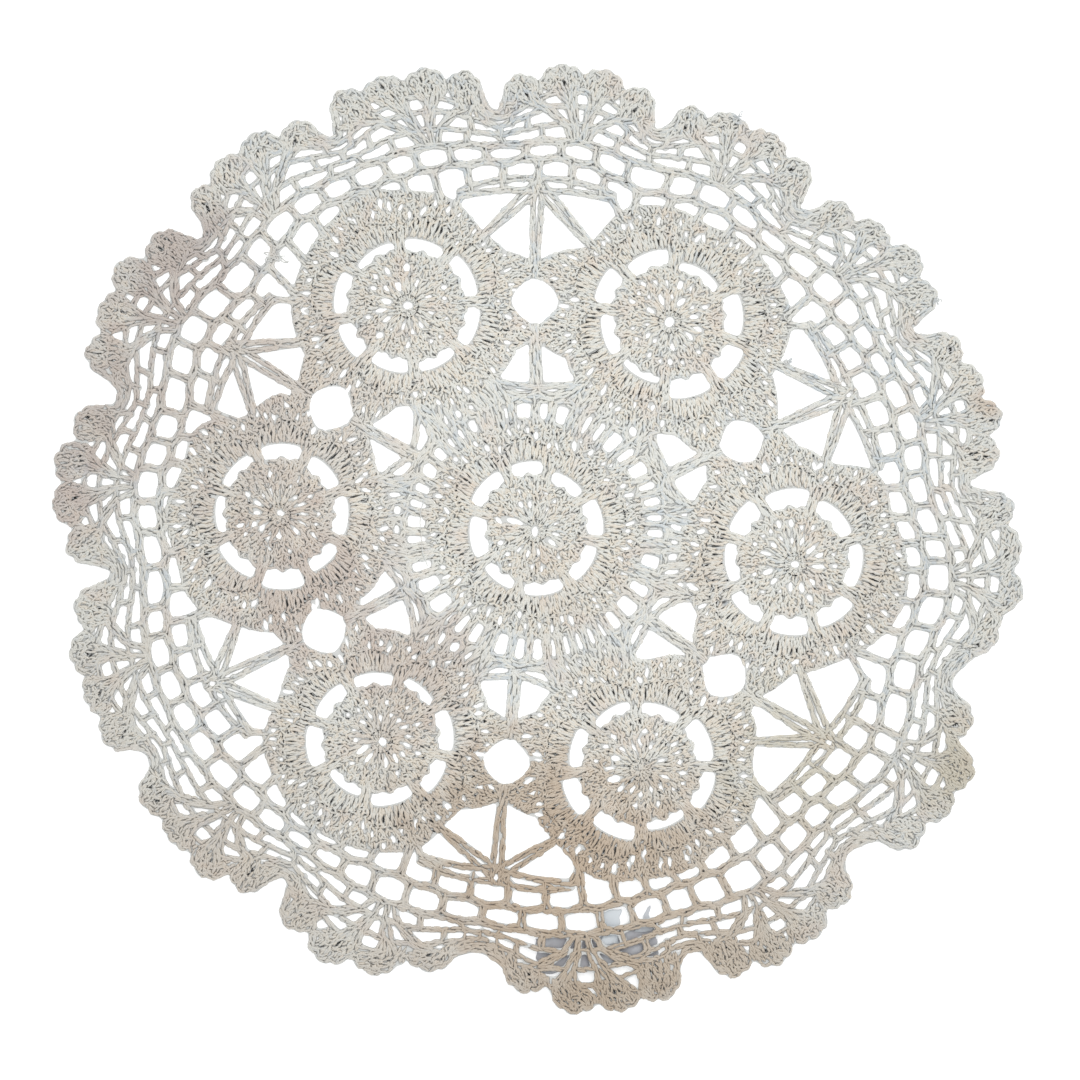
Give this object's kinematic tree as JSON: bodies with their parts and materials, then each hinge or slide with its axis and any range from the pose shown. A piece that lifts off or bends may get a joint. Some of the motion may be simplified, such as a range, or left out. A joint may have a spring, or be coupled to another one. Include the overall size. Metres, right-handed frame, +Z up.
{
  "type": "lace doily",
  "caption": "Round crocheted cotton doily: joined round motifs, open net and a scalloped fan edging, lying flat over a small bare label.",
  "frame": {"origin": "under the middle of the bounding box, on the table", "axes": "+Z up from the table, +Y towards the top of the doily as pictured from above, +X to the right"},
  "size_m": [0.3203, 0.3135, 0.0031],
  "materials": {
    "lace": "matt cotton thread, tea-stained in places",
    "label": "pale blue-white satin ribbon, bare"
  },
  "bodies": {
    "root": {"lace": "lace", "label": "label"}
  },
  "joints": []
}
